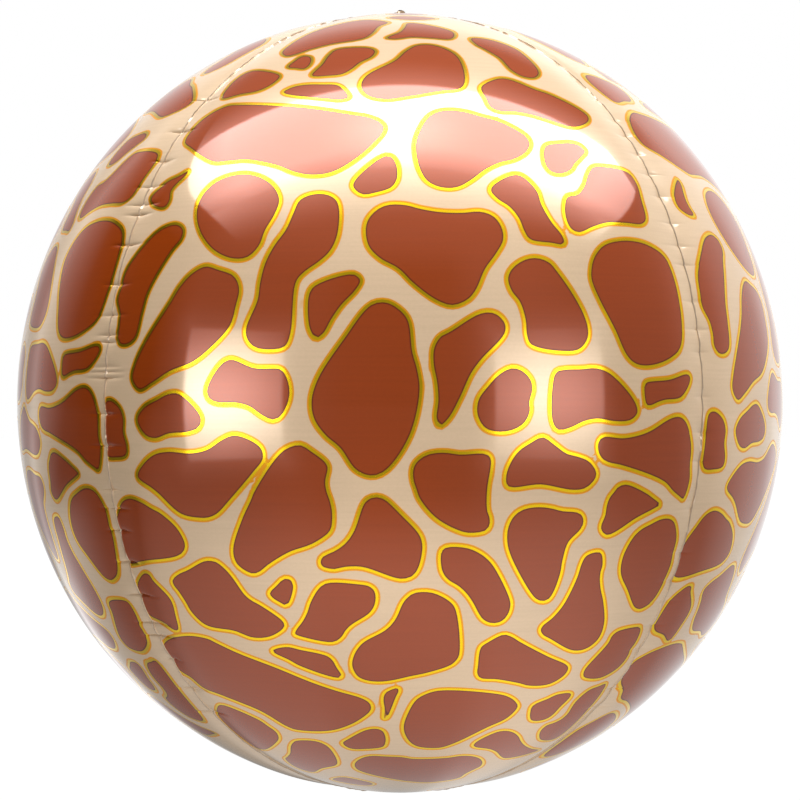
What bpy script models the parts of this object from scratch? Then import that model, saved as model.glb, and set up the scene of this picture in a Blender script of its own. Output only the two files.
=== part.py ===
"""A round foil balloon made of four printed film panels, heat-sealed edge to edge from pole to pole, with the flat
filling neck that leaves its lower pole and lies folded back under it.

The balloon stands on the small flat that its own weight presses into it. The origin is on the ground under the
middle of that flat, +Z is up and the front panel faces -Y. All sizes are in metres. The inflated balloon is sealed,
so each panel carries its quarter of the inside as a solid.
"""

import math

import bmesh
import bpy
from mathutils import Vector

# The inflated envelope, before it is set down.
INFLATED_WIDTH = 0.3925
INFLATED_HEIGHT = 0.400
PANEL_COUNT = 4

# The flat that it stands on.
REST_FLAT_RADIUS = 0.018

# The heat-sealed seams: the lip of welded film that stands off the skin, and the valley that the seam lies in.
LIP_HEIGHT = 0.0020
LIP_FILM = 0.0004
SEAM_GAP = 0.0003
VALLEY_DEPTH = 0.0010
VALLEY_REACH = 0.012

# The puckers: short creases across each seam, where the shorter seam gathers the film. They die out at the poles.
PUCKER_PITCH = 0.022
PUCKER_DEPTH = 0.0014
PUCKER_REACH = 0.015
PUCKER_FADE_RADIUS = 0.110
LIP_SHARE_OF_PUCKER = 0.4

# The crest that the four lips make where they meet at the upper pole.
CREST_HEIGHT = 0.0045
CREST_REACH = 0.0060
CREST_BORE = 0.0010

# The filling neck: two layers of film welded along both sides.
NECK_LENGTH = 0.070
NECK_WIDTH = 0.026
NECK_ROOT_WIDTH = 0.016
NECK_TAPER = 0.018
NECK_THICKNESS = 0.0008
NECK_CORNER = 0.005
NECK_EDGE = 0.0002
NECK_START = 0.0010
NECK_CLEARANCE = 0.0004

# How finely the solids are faceted, besides the rows that the puckers need.
COLUMNS = 14
CREST_ROWS = 3
CORNER_STEPS = 6

# How much of the room over the ground the lip and the valley may take near the flat.
PRESSED_LIP_SHARE = 0.8
PRESSED_VALLEY_SHARE = 0.4

HALF_WIDTH = INFLATED_WIDTH / 2
HALF_HEIGHT = INFLATED_HEIGHT / 2
HALF_PANEL_ANGLE = math.pi / PANEL_COUNT

FOIL_COLOUR = (0.36, 0.17, 0.09, 1.0)
NECK_COLOUR = (0.66, 0.50, 0.30, 1.0)


def clear_scene():
    for scene_object in list(bpy.data.objects):
        bpy.data.objects.remove(scene_object)


def plain_material(name, colour, roughness, metallic):
    material = bpy.data.materials.new(name)
    material.use_nodes = True
    shader = material.node_tree.nodes["Principled BSDF"]
    shader.inputs["Base Color"].default_value = colour
    shader.inputs["Roughness"].default_value = roughness
    shader.inputs["Metallic"].default_value = metallic
    return material


def smooth_step(share):
    share = min(1.0, max(0.0, share))
    return share * share * (3 - 2 * share)


def crowded_at_ends(count):
    """Shares from -1 to 1 that lie closer together towards both ends."""
    shares = [2 * step / count - 1 for step in range(count + 1)]
    return [(3 * s - s**3) / 2 for s in shares]


def latitude_where_radius_is(radius):
    """The angle from the equator at which the envelope has this radius round its axis."""
    return math.acos(radius / HALF_WIDTH)


def ground_to_centre():
    """The flat is cut where the envelope is as wide as the flat, so the centre hangs lower than half its height."""
    return HALF_HEIGHT * math.sin(latitude_where_radius_is(REST_FLAT_RADIUS))


def meridian_point(latitude):
    """Radius round the axis, height over the ground, and the outward normal's two parts."""
    radius = HALF_WIDTH * math.cos(latitude)
    height = ground_to_centre() + HALF_HEIGHT * math.sin(latitude)
    normal = Vector((math.cos(latitude) / HALF_WIDTH, math.sin(latitude) / HALF_HEIGHT)).normalized()
    return radius, height, normal


def lip_height(radius, height, upper):
    """The lip rises to the crest near the upper pole, and is pressed down where the ground is close under it."""
    if upper:
        return LIP_HEIGHT + (CREST_HEIGHT - LIP_HEIGHT) * smooth_step(1 - (radius - CREST_BORE) / CREST_REACH)
    return min(LIP_HEIGHT, PRESSED_LIP_SHARE * height)


def drawn_in(distance, radius, height, in_crease):
    """How far the skin is drawn in at this distance from the seam, in a crease or between two."""
    valley = VALLEY_DEPTH * math.exp(-((distance / VALLEY_REACH) ** 2))
    pucker = 0.0
    if in_crease:
        pucker = PUCKER_DEPTH * math.exp(-((distance / PUCKER_REACH) ** 2)) * smooth_step(radius / PUCKER_FADE_RADIUS)
    return min(valley + pucker, PRESSED_VALLEY_SHARE * height)


def panel_rows():
    """The latitudes of the panel's rings from the flat up, each with whether it runs in a crease. Creases and the
    swells between them take turns, and the crest at the upper pole gets closer rings."""
    lowest = -latitude_where_radius_is(REST_FLAT_RADIUS)
    crest_foot = latitude_where_radius_is(CREST_BORE + CREST_REACH)
    span = crest_foot - lowest
    creases = max(1, round(span * HALF_HEIGHT / PUCKER_PITCH))
    rows = [(lowest + span * ring / (2 * creases), ring % 2 == 1) for ring in range(2 * creases + 1)]
    for ring in range(1, CREST_ROWS + 1):
        rows.append((latitude_where_radius_is(CREST_BORE + CREST_REACH * (1 - ring / CREST_ROWS)), False))
    return rows


def panel_section(latitude, in_crease):
    """The closed outline of a panel at one latitude: its axis point, one lip, the skin, and the other lip.
    The panel faces +X here, and its two seams lie at plus and minus half its angle."""
    radius, height, normal = meridian_point(latitude)
    foot = min(2 * LIP_FILM / radius, HALF_PANEL_ANGLE / 3)
    valley = drawn_in(0, radius, height, False)
    crease = drawn_in(0, radius, height, in_crease)
    lip = lip_height(radius, height, latitude > 0) - valley - LIP_SHARE_OF_PUCKER * (crease - valley)
    points = [Vector((0, 0, height))]

    def add(angle, out):
        reach = radius + out * normal[0]
        points.append(Vector((reach * math.cos(angle), reach * math.sin(angle), height + out * normal[1])))

    add(-HALF_PANEL_ANGLE, lip)
    add(-HALF_PANEL_ANGLE + foot / 2, lip)
    for share in crowded_at_ends(COLUMNS):
        angle = share * (HALF_PANEL_ANGLE - foot)
        distance = radius * (HALF_PANEL_ANGLE - abs(angle))
        add(angle, -drawn_in(distance, radius, height, in_crease))
    add(HALF_PANEL_ANGLE - foot / 2, lip)
    add(HALF_PANEL_ANGLE, lip)
    return points


def panel_mesh():
    """One panel with its share of the inside: a ring of points at each latitude, joined and closed at both ends."""
    shape = bmesh.new()
    rings = []
    for latitude, in_crease in panel_rows():
        rings.append([shape.verts.new(point) for point in panel_section(latitude, in_crease)])
    for below, above in zip(rings, rings[1:]):
        for here in range(len(below)):
            after = (here + 1) % len(below)
            shape.faces.new((below[here], below[after], above[after], above[here]))
    for end in (rings[0], rings[-1]):
        for here in range(1, len(end) - 1):
            shape.faces.new((end[0], end[here], end[here + 1]))
    bmesh.ops.recalc_face_normals(shape, faces=shape.faces)
    bmesh.ops.triangulate(shape, faces=shape.faces)
    mesh = bpy.data.meshes.new("panel")
    shape.to_mesh(mesh)
    shape.free()
    mesh.shade_smooth()
    mesh.set_sharp_from_angle(angle=math.radians(35))
    return mesh


def neck_outline(grow=0.0):
    """The flat neck seen from above, running from the pole along +Y, each edge moved out by grow."""
    half, half_root = NECK_WIDTH / 2 + grow, NECK_ROOT_WIDTH / 2 + grow
    start, end = NECK_START - grow, NECK_START + NECK_LENGTH + grow
    right_side = [Vector((half_root, start, 0))]
    for step in range(1, CORNER_STEPS + 1):
        share = step / CORNER_STEPS
        width = half_root + (half - half_root) * smooth_step(share)
        right_side.append(Vector((width, start + NECK_TAPER * share, 0)))
    for step in range(CORNER_STEPS + 1):
        turn = math.pi / 2 * step / CORNER_STEPS
        across = half - NECK_CORNER * (1 - math.cos(turn))
        along = end - NECK_CORNER * (1 - math.sin(turn))
        right_side.append(Vector((across, along, 0)))
    left_side = [Vector((-p.x, p.y, 0)) for p in reversed(right_side)]
    return right_side + left_side


def flat_plate(name, outline, bottom, top):
    """A plate of this outline, standing from bottom to top."""
    shape = bmesh.new()
    face = shape.faces.new([shape.verts.new(Vector((p.x, p.y, bottom))) for p in outline])
    raised = bmesh.ops.extrude_face_region(shape, geom=[face])
    upper = [item for item in raised["geom"] if isinstance(item, bmesh.types.BMVert)]
    bmesh.ops.translate(shape, verts=upper, vec=(0, 0, top - bottom))
    bmesh.ops.recalc_face_normals(shape, faces=shape.faces)
    mesh = bpy.data.meshes.new(name)
    shape.to_mesh(mesh)
    shape.free()
    plate = bpy.data.objects.new(name, mesh)
    bpy.context.scene.collection.objects.link(plate)
    return plate


def add_filling_neck(material):
    neck = flat_plate("filling_neck", neck_outline(), 0.0, NECK_THICKNESS)
    neck.data.materials.append(material)
    edge = neck.modifiers.new("soft edge", "BEVEL")
    edge.width = NECK_EDGE
    edge.segments = 1
    edge.limit_method = "ANGLE"
    edge.angle_limit = math.radians(60)
    return neck


def add_neck_room():
    """The helper that presses the folded neck's room into the panels that lie over it."""
    below_ground = -NECK_THICKNESS
    room = flat_plate("neck_room", neck_outline(NECK_CLEARANCE), below_ground, NECK_THICKNESS + NECK_CLEARANCE)
    room.hide_render = True
    room.display_type = "WIRE"
    return room


def add_panels(material, neck_room):
    """Four equal panels round the axis. Moving each out along its own middle opens the seam gap on both its sides."""
    mesh = panel_mesh()
    mesh.materials.append(material)
    move_out = SEAM_GAP / 2 / math.sin(HALF_PANEL_ANGLE)
    for name, turns_from_right in (("right_panel", 0), ("back_panel", 1), ("left_panel", 2), ("front_panel", 3)):
        angle = turns_from_right * 2 * HALF_PANEL_ANGLE
        panel = bpy.data.objects.new(name, mesh)
        panel.rotation_euler = (0, 0, angle)
        panel.location = (move_out * math.cos(angle), move_out * math.sin(angle), 0)
        bpy.context.scene.collection.objects.link(panel)
        if name != "front_panel":
            cut = panel.modifiers.new("room for the neck", "BOOLEAN")
            cut.operation = "DIFFERENCE"
            cut.object = neck_room


def main():
    clear_scene()
    foil = plain_material("printed foil", FOIL_COLOUR, 0.25, 0.5)
    bare_foil = plain_material("neck foil", NECK_COLOUR, 0.3, 0.6)
    add_filling_neck(bare_foil)
    add_panels(foil, add_neck_room())


main()
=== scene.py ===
"""The looks of a round foil balloon with a giraffe print: four printed gores that are heat-sealed edge to edge, and
the flat filling neck that lies folded back under them.

Everything is in metres, in the frame of the solid model: the origin is on the ground under the balloon, +Z is up and
the front gore faces -Y. Pixels are those of the photograph's 800 x 800 frame, counted from its upper left corner.
"""

import math
import random

import bpy
import numpy as np
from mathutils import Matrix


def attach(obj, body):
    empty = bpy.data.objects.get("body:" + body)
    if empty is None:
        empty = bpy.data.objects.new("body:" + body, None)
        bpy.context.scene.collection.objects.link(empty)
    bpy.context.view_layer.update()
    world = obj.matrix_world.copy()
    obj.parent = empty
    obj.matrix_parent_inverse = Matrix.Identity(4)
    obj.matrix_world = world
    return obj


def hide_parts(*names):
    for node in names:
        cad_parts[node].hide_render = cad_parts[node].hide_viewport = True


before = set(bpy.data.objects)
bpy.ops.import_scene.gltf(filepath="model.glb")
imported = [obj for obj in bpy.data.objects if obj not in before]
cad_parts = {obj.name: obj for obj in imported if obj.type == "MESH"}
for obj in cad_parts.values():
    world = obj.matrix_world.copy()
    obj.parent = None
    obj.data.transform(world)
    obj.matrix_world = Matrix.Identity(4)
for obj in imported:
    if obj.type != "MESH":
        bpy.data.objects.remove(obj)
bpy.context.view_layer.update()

# The solid model's own sizes.
HALF_WIDTH = 0.3925 / 2
HALF_HEIGHT = 0.400 / 2
REST_FLAT_RADIUS = 0.018
SEAM_GAP = 0.0003
LIP_HEIGHT = 0.0020
CREST_HEIGHT = 0.0045
CREST_REACH = 0.0060
CREST_BORE = 0.0010
VALLEY_DEPTH = 0.0010
VALLEY_REACH = 0.012
PRESSED_LIP_SHARE = 0.8
PRESSED_VALLEY_SHARE = 0.4
NECK_LENGTH = 0.070
NECK_WIDTH = 0.026
NECK_ROOT_WIDTH = 0.016
NECK_TAPER = 0.018
NECK_THICKNESS = 0.0008
NECK_CORNER = 0.005
NECK_START = 0.0010
NECK_CLEARANCE = 0.0004

# The photograph's camera.
CAMERA_DISTANCE = 1.25
CAMERA_YAW = math.radians(0.79)
FOCAL_LENGTH_PX = 2406
PICTURE_SIZE_PX = 800
BALLOON_CENTRE_PX = (400.0, 402.8)
SENSOR_MM = 36

# How finely each gore is meshed.
COLUMNS = 140
ROW_STEP = 0.00155
CREST_ROWS = 10
FLAT_ROWS = 14
CREASE_ROW_OFFSETS = (-0.0021, -0.0011, -0.0005, 0.0, 0.0005, 0.0011, 0.0021)
CLOSEST_ROWS = 0.00022
PLAIN_ROWS_NEED = 3.2
SHARP_GORE_EDGE = math.radians(55)

# The puckers: heights on the two front seams, in the photograph, and the pitch on the two that it doesn't show.
LEFT_SEAM_PUCKERS_PX = (98, 130, 160, 186, 204, 214, 244, 284, 315, 335, 342, 367, 372, 378, 414, 446, 490, 509, 531,
                        563, 596, 624, 637, 661, 690, 714)
RIGHT_SEAM_PUCKERS_PX = (98, 119, 134, 153, 173, 195, 222, 245, 264, 301, 329, 352, 397, 433, 462, 510, 554, 582, 603,
                         627, 651, 691, 709)
HIDDEN_PUCKER_PITCH = 0.0135
HIDDEN_PUCKER_SCATTER = 0.0045
HIDDEN_PUCKERS_START, HIDDEN_PUCKERS_END = 0.8, 0.85
PUCKER_STRENGTH = (1.1, 1.1, 1.8, 0.4)
PUCKER_STRENGTH_VARIES = (0.6, 1.2)
CREASE_DEPTH = 0.00045
CREASE_WIDTH = 0.0006
CREASE_REACH = (0.008, 0.015)
SCALLOP_DEPTH = 0.0006
SCALLOP_SHARE_OF_PITCH = 0.05
SCALLOP_ROUNDNESS = 0.85
SCALLOP_REACH = 0.0038
PUCKER_FADE_RADIUS = 0.070
JOG = 0.0007
JOG_REACH = 0.012

# The printed line round each patch, from the patch outwards, and the dark rim inside it.
DARK_RIM = 0.00035
BURNT_LINE = 0.00022
YELLOW_LINE = 0.00142
ORANGE_LINE = 0.00230
PRINT_RANGE = 0.006
PRINT_SOFTNESS = 0.00010

# How far from the seam's middle the bare weld ends, and the fine crimps beside it, in millimetres.
WELD_END_MM = (0.10, 0.30)
CRIMPS_END_MM = (1.0, 7.0)

MM = 0.001
HALF_GORE_ANGLE = math.pi / 4
SHEET_RADIUS = (HALF_WIDTH + HALF_HEIGHT) / 2
LOWEST = -math.acos(REST_FLAT_RADIUS / HALF_WIDTH)
CENTRE_HEIGHT = -HALF_HEIGHT * math.sin(LOWEST)
CREST_FOOT = math.acos((CREST_BORE + CREST_REACH) / HALF_WIDTH)

# The edges of the printed patches as the photograph shows them on the front gore, in pixels. Where the seam cuts a
# patch, its outline runs on past the seam, because the same print shows further on the gores at the sides.
PATCHES_PX = {
    "crown left": ((282, 52), (290, 44), (318, 29.5), (365, 19.5), (387, 22), (378, 26), (371, 33), (362, 38),
        (330, 43.5), (312, 48), (287, 55.5)),
    "crown right": ((387, 37.5), (400, 31.5), (404.5, 27), (409, 22.5), (450, 30.5), (453.5, 35), (449, 38.5),
        (430, 37.3), (410, 36.5), (395, 38.3)),
    "crown far right": ((471, 38), (485, 38.5), (512, 47), (524, 55), (538, 72), (534, 77), (523, 76), (511, 69.5),
        (500, 58), (487, 50), (476, 44)),
    "bead left": ((288, 66.5), (294, 61), (302, 56), (309, 56.5), (310, 62), (304, 68), (296, 67.5)),
    "brow left": ((222, 97), (228, 85), (240, 74.5), (250, 70.5), (265, 71), (279, 75.5), (272, 83), (258, 90),
        (240, 93.5)),
    "second left": ((312, 75), (322, 64), (329, 54.5), (337, 49), (368, 47.6), (374, 50.5), (371, 56), (359, 62),
        (350, 69), (341, 73.5), (328, 75)),
    "second middle": ((361, 86), (366, 75.5), (395, 60), (406, 50.5), (417, 45), (430, 44.5), (447, 49.5), (458, 58),
        (464, 81), (459, 88), (440, 90.5), (410, 95.5), (385, 98.7), (368, 95)),
    "sliver left": ((283.5, 92), (292, 87), (305, 84.5), (322, 84.2), (336, 84.7), (342, 88.5), (347.5, 97),
        (341, 99), (325, 98)),
    "shoulder left": ((184, 140), (200, 120), (226, 106), (240, 104.7), (300, 107), (350, 114), (368, 117),
        (380, 122.5), (383, 129), (365, 150), (340, 167.5), (325, 173), (308, 174), (292, 170.6), (278, 165),
        (247, 159), (228, 160.3), (213, 161), (191, 147.5)),
    "heart": ((415.6, 149.5), (417, 137), (428, 117), (438, 111.3), (452, 110), (466, 112), (480, 116), (500, 121.7),
        (526, 137), (528.7, 145), (524, 152.5), (512, 159), (500, 161.7), (486, 168), (470, 179.5), (459, 185.6),
        (449, 187.3), (437, 185.5), (427, 180), (420, 169)),
    "tooth": ((353, 184.5), (358, 176), (384, 156), (390, 156.2), (395, 163), (396.7, 173), (395, 181), (390, 187),
        (374, 192), (363, 193.7), (355.5, 189.5)),
    "upper right bar": ((481.2, 86.5), (498, 78.4), (508, 79), (534, 89), (551, 95), (586.5, 115), (587.7, 120),
        (582, 124.3), (571, 126.2), (545, 118.4), (530, 114), (515, 111.3), (500, 110.6), (491, 107), (486, 98.5)),
    "small round right": ((543.6, 150), (546.5, 145), (558, 143.3), (570, 142.8), (579, 145.5), (584.3, 151),
        (580, 156.5), (574, 163), (570, 169), (561, 172.8), (551, 171), (545.3, 164)),
    "shoulder right": ((567.3, 196.7), (564.7, 206), (566, 218), (571, 228), (578.4, 231.4), (592, 226), (607, 221.7),
        (625, 222), (641, 223), (645, 218.5), (641, 200), (636, 183), (628, 172.5), (600.6, 166.4), (592, 167.5),
        (587.5, 175), (584, 186), (577, 194.5)),
    "edge triangle": ((187.5, 171), (178, 176), (166, 181.5), (149.5, 197), (152, 203), (164, 206.3), (168.5, 200),
        (170.5, 189.5), (184, 175.5)),
    "long bean": ((176, 224.5), (182, 229), (181, 237), (170, 251), (147, 291), (141, 311), (134, 337), (126, 343),
        (119, 342), (116.3, 336), (118, 325), (118.5, 313), (116.2, 299), (119, 287), (126, 267.5), (150, 238),
        (163, 228)),
    "round": ((240, 174), (258, 176.5), (272, 185.5), (278.4, 199), (274, 213), (264, 230), (258, 245), (247, 256),
        (232, 257.5), (214, 249.5), (201, 233), (196.5, 214), (201, 197), (216, 181.5)),
    "hourglass": ((314, 194), (328, 195), (336.5, 202), (337, 231), (330, 249), (319, 260), (303, 271.5),
        (295, 281.5), (289.5, 333), (284, 345.5), (268, 348.6), (254, 346), (247, 338), (246, 328), (257.3, 300),
        (260, 282), (265, 263), (274, 245.5), (286, 229), (293, 213.5), (300, 199.5)),
    "left shield": ((205, 266.4), (191.7, 273.4), (180, 286), (169, 304), (146, 340.5), (135, 364), (132, 378),
        (139, 388.4), (151.7, 381.7), (169.5, 370), (192, 361), (208, 348.5), (229, 325), (235, 305), (238.3, 288),
        (233, 276), (217, 269.5)),
    "middle wedge": ((309, 294), (314, 286), (353, 274.3), (359.3, 280), (354, 290), (341, 303.5), (331, 317.5),
        (322, 333), (315.6, 336.7), (310.5, 330), (307.8, 315)),
    "anvil": ((365.6, 230.6), (368, 219.5), (377, 209.5), (388, 204.8), (405, 205), (420, 208.8), (440, 212),
        (461, 212.8), (480, 211.6), (493, 216.5), (501, 228), (502, 240), (495, 253), (484, 268.5), (475, 289),
        (467, 298.5), (452, 304.2), (436, 299), (414, 283), (398, 267.5), (380, 257.5), (369, 246)),
    "great diamond": ((385, 302.3), (370.6, 305), (344, 338.4), (318, 378), (311.5, 400), (314, 418), (325, 434),
        (340, 447), (356, 469), (372, 474.7), (386, 468.5), (409, 434), (418.7, 390), (416, 368), (411.5, 352),
        (407, 320), (398, 309)),
    "right wedge": ((489, 312.3), (478, 314.3), (450, 331.5), (440, 337), (434, 348), (433.5, 363), (437, 382),
        (438.2, 400), (436.5, 418), (439.5, 424.5), (448, 417), (459, 397), (470, 373), (480, 359), (503.5, 333),
        (504, 323.5), (497, 315)),
    "boomerang": ((490.8, 190), (493.5, 184.5), (517, 174.5), (535.6, 190), (540.6, 204), (550.5, 221.5),
        (561.7, 236.2), (563, 243), (550, 241.8), (530, 238.5), (524.5, 231), (519, 218), (509.5, 206.2),
        (497, 197.8)),
    "right block": ((508, 278), (512, 268.5), (524, 260), (536, 258), (548.5, 262.5), (556, 271), (572, 294),
        (583, 314.5), (587, 328), (586.5, 338), (579, 348), (565, 350.3), (531, 343.7), (527, 335), (525.5, 319),
        (520, 301.5), (511.5, 290)),
    "right shield": ((591, 272), (594, 257.5), (603, 245.8), (620, 240.8), (639.5, 242.3), (654, 248.4), (661.7, 254),
        (667.3, 261.2), (675, 281.7), (681.5, 320.6), (680, 346.2), (669.5, 357.3), (650.6, 364.3), (636, 363),
        (627, 355), (615, 329), (600, 300), (592, 281)),
    "pear": ((512, 368), (522, 371), (530, 380), (531.5, 389), (528.5, 402), (529, 410), (524, 421.5), (513, 428.7),
        (498, 430.8), (485, 427), (477.5, 414), (478.5, 399.5), (488, 386), (500, 373.5)),
    "right egg": ((552, 388), (556, 372), (565, 369.5), (581, 369), (596, 368.2), (610, 374), (634, 401.5),
        (636.5, 412), (630, 419), (615, 420.3), (597, 417.7), (583, 420.5), (570, 426.7), (558, 429), (552.5, 421)),
    "right brick": ((644.5, 384), (646.2, 382.3), (669.5, 379.5), (685, 374.2), (688.4, 374.5), (690.3, 377.3),
        (689, 384), (680.6, 396.2), (664, 399), (657.3, 401.2), (649.5, 404.5), (646.2, 403.4)),
    "mushroom": ((542, 437), (530, 443), (519, 450.5), (511, 461.5), (506, 476), (508, 485.5), (540, 483.5),
        (573, 489), (586, 486.5), (595.5, 474.5), (589, 462), (577, 456.5), (566, 453.5), (553, 444)),
    "right bow": ((597.8, 445), (599, 440.6), (602.8, 437), (622.8, 438.2), (639.5, 435), (650.6, 430.6),
        (667.3, 420), (675, 417), (680.6, 417.3), (685, 421.2), (688.4, 428.4), (691.5, 446.2), (690.3, 466),
        (690, 479.5), (684.5, 497.3), (682.8, 498.6), (680.6, 496.7), (672.8, 490), (664, 480.6), (620.6, 464),
        (609.5, 461.7), (602.8, 458.4), (599, 452.8)),
    "bow tie": ((206.7, 391), (209, 382.5), (218, 367.5), (225, 361), (232, 359.5), (253, 367.8), (268, 368.4),
        (280, 369.3), (286, 378), (288.6, 391), (286.5, 403), (279, 416), (272, 418.8), (262, 414.5), (249, 405.5),
        (236, 402), (217, 401.5), (209.5, 398)),
    "left arm": ((137, 419), (143, 408), (157, 399.5), (168, 394), (178, 393.8), (196, 410), (200.3, 419),
        (198, 426.5), (188, 430.8), (168, 432.6), (155, 437.2), (145, 434)),
    "seam bar": ((103, 403), (108.4, 400.5), (118, 408), (122, 418), (122, 432), (125.5, 446), (125, 454),
        (115, 456.5), (104, 454), (101.5, 420)),
    "left wing": ((137.3, 475.6), (143, 464), (154, 454.5), (168, 451.7), (190, 453.3), (207, 449.5), (222, 439.5),
        (233, 435.3), (248, 439.3), (260, 448), (262, 458), (253, 470.5), (229.5, 498.4), (216.2, 512.8),
        (208.4, 516.4), (201.7, 517), (180.6, 512.8), (158.4, 492.8), (151.7, 487.3)),
    "seam lobe": ((129.5, 498.6), (122.8, 500.5), (119, 505), (116, 514), (113, 525), (113, 540), (117, 555),
        (124, 563), (147.3, 559.7), (179.5, 553.7), (184.3, 545.6), (177.3, 529.5), (160.6, 513.7), (150.6, 508.2),
        (140.6, 502.3)),
    "seam leaf": ((144.2, 573.4), (140.6, 575.6), (135.8, 586), (139, 604), (144, 613), (149, 617), (161.7, 622.3),
        (174.5, 629.7), (177.3, 629), (175, 616.2), (170, 599.5), (151.7, 580), (148.4, 575)),
    "lower left slab": ((172.3, 580), (178.4, 574), (187.3, 570), (202.8, 561.5), (209.5, 560.6), (216.2, 562.3),
        (225, 569.5), (231.7, 577.3), (244, 594.5), (250.6, 600), (260.6, 605.6), (281.7, 620.6), (283.6, 625),
        (281.7, 628.4), (269.5, 635.6), (252.8, 636.7), (234, 630), (206.2, 624.5), (191.7, 611.7), (185, 600.6),
        (178.4, 590.6), (174, 585)),
    "lower left boot": ((297.3, 445), (281.7, 451.7), (254, 491.7), (250.6, 500), (241.7, 519.5), (233, 549.5),
        (236.7, 562.8), (248.4, 571.5), (254, 572.6), (259.5, 570.4), (267.3, 564), (288.4, 551.2), (310.6, 543.4),
        (326.2, 533.4), (330, 528.4), (331.2, 511.7), (329, 500.6), (325.6, 490.6), (324.3, 481), (326.7, 467.3),
        (324, 461.7), (309.5, 450.6), (302.8, 446.2)),
    "tiny triangle": ((285.3, 578.4), (281.7, 580), (276.2, 585.6), (269.7, 592.8), (272.8, 597.3), (280, 601.7),
        (285, 604.2), (287.8, 602.3), (292, 589.5), (292, 584), (289.5, 579.5)),
    "lower quad": ((327.3, 582.8), (359.5, 584.3), (367.3, 585.6), (372.3, 589), (374.5, 594), (374.5, 600.6),
        (372.3, 607.3), (367.3, 613.4), (350.6, 624), (345, 629.5), (340.6, 636.2), (335, 640.4), (328.4, 641.3),
        (298.4, 635), (295, 633.4), (296.2, 629.5), (302.8, 620.6), (307.3, 611.7), (310.6, 601.7), (319.5, 587.3)),
    "sliver low": ((272.5, 650.3), (286.2, 646.7), (299.5, 649.5), (326.2, 655.6), (331.7, 660), (335.6, 666.7),
        (340.4, 675), (338.4, 677), (299.5, 665), (289.5, 659.5)),
    "centre blob": ((376.2, 497), (368.4, 499), (364, 503.4), (354.5, 529.5), (348.4, 539.5), (341.7, 546.2),
        (332.8, 551.7), (325, 555), (321.7, 557.8), (320.6, 561.7), (322.3, 565.6), (334, 568.2), (342.8, 566.2),
        (361.7, 566), (396.2, 577.3), (404, 577.8), (411.7, 575), (417.3, 567.3), (421.4, 549.5), (420.8, 540.6),
        (417.3, 532.8), (400.6, 515), (384, 499.5)),
    "centre square": ((412.8, 471.7), (414.5, 465), (418.4, 460), (426.2, 455), (436.2, 452.8), (447.3, 452.8),
        (459.5, 454.5), (481.7, 453.4), (487.3, 455), (490, 459.5), (486.2, 489.5), (486.2, 509.5), (488.6, 517.3),
        (488.6, 524.5), (485, 529.5), (469.5, 532), (458.4, 529.5), (436.2, 517.3), (420, 498.4), (416.2, 488.4),
        (413.5, 480)),
    "lower bean": ((441.7, 550.6), (441.2, 566.2), (444, 574), (449.5, 580), (457.3, 584.5), (465, 591.2),
        (471.7, 600), (481.7, 617.3), (487.3, 621.2), (494, 622.3), (500.6, 620.6), (506.2, 615), (509.2, 607.3),
        (509, 599.5), (492.8, 566.2), (484, 556.7), (474, 550.6), (464, 547.5), (446.2, 547.3)),
    "lower great": ((431.7, 592.6), (449.5, 601.7), (455, 610), (458.4, 654), (455, 660), (449.5, 664.5),
        (425, 672.3), (411.7, 675), (388.4, 680), (377.3, 680.8), (366.2, 679.5), (358.4, 676.2), (354, 670.6),
        (352, 664), (353.4, 656.2), (357.3, 648.6), (364, 641.5), (383.5, 631), (390.6, 625), (396.2, 617.3),
        (402.8, 602.8), (407.3, 597.3), (414, 592.8)),
    "lower right tooth": ((507, 535), (508.4, 526.2), (512.8, 517.3), (519.5, 511.2), (527.3, 508.2), (539.5, 507),
        (550.6, 508.2), (561.7, 511), (576.2, 512.3), (580.6, 514.8), (582.5, 519.5), (581.7, 525), (578.4, 530),
        (567.3, 541.7), (561.7, 559.5), (559, 574), (550.6, 595), (546.2, 599.3), (540.6, 600), (535, 597.3),
        (519, 572.5), (508.4, 548.4)),
    "lower right boot": ((600, 552.8), (590.6, 553.2), (585, 556.7), (581.2, 564), (577.3, 576.2), (566.2, 599.5),
        (559.5, 609.5), (550.6, 619), (542.8, 625), (540.6, 629.5), (542.8, 634), (549.8, 638), (568.9, 648.6),
        (576.5, 649.8), (584, 648.4), (591.7, 644), (598.9, 636), (603.4, 621.7), (602.3, 600.6), (600, 589.5),
        (599, 579.5), (599.7, 571.7), (601.7, 564)),
    "right kite": ((614, 491.7), (617.3, 487.3), (622.8, 484.7), (628.4, 485), (645, 492.8), (652.8, 498.4),
        (658.9, 504), (655, 506.7), (636.2, 516.7), (606.2, 534), (600.8, 527.3), (605, 515), (606.7, 505),
        (609.5, 497.3)),
    "lower right egg": ((650.6, 524), (658.4, 520), (665, 518.4), (670.6, 519.3), (674.5, 523.4), (676.7, 538.4),
        (673, 555), (670.5, 566.2), (654, 599), (642.8, 607.3), (638.4, 608.2), (634, 606), (627.3, 589.5),
        (620.6, 572.8), (622.8, 556.2), (632.8, 537.3), (640.6, 529.5)),
    "lower right leaf": ((607.8, 642.8), (612.2, 635), (619, 630.3), (639.5, 627.6), (640.6, 629.8), (636.2, 642),
        (630.1, 650.6), (628.9, 654), (625, 660.6), (617.3, 668.4), (599.5, 677.3), (584.5, 676.7), (583, 674),
        (585, 668.4)),
    "low slab": ((161, 648), (164, 642.6), (169.5, 639), (188.4, 635.6), (207.3, 638.6), (215, 642.3), (236.2, 652.3),
        (276.2, 667.8), (311.7, 682.3), (336.2, 690.6), (359.5, 697.3), (367.0, 701.2), (369.9, 705), (369.9, 709),
        (367.0, 712.8), (350.6, 723.4), (328.4, 730), (296.2, 729), (286.7, 725.6), (266.2, 713.4), (254, 707.3),
        (218.4, 693.4), (207.3, 690), (200.6, 686.7), (189.5, 677.8), (181, 673), (173, 667), (166, 659)),
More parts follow.
